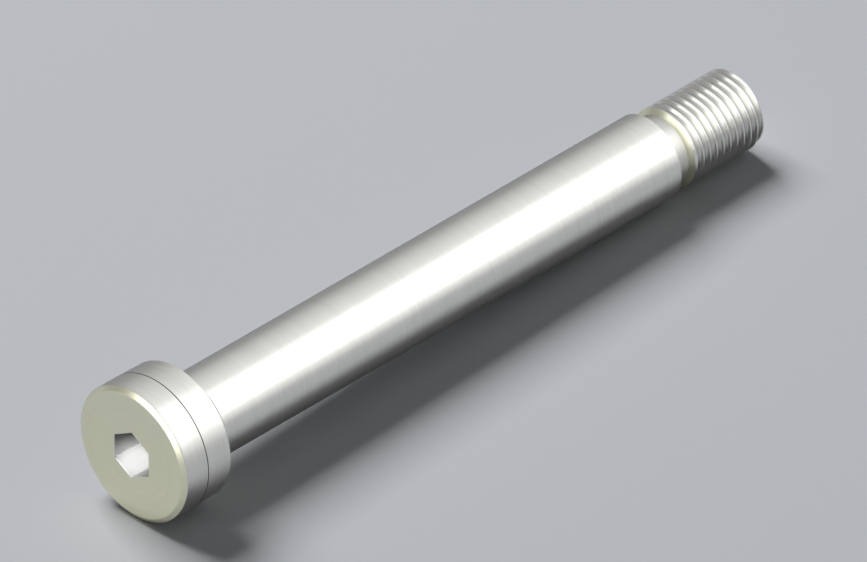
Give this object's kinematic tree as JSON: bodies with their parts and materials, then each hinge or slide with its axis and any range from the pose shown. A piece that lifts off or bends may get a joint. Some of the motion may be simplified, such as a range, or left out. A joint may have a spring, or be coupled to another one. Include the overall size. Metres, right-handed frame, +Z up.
{
  "type": "shoulder bolt",
  "caption": "Hexagon socket shoulder bolt: low round head, long ground shoulder, relief neck and short threaded end, used as a pivot or guide for a part that turns or slides on its shoulder.",
  "frame": {"origin": "centre of the seat under the head, on the bolt's axis", "axes": "the bolt lies at rest on its head's rim and its tip's corner: seen from above it runs along +X from head to tip, +Z is up, and its axis dips 2.288 degrees towards the tip; two of the socket's corners point up and down"},
  "size_m": [0.0904, 0.016, 0.0161],
  "materials": {
    "steel": "turned and ground bright steel"
  },
  "bodies": {
    "root": {"shoulder_bolt": "steel"}
  },
  "joints": []
}
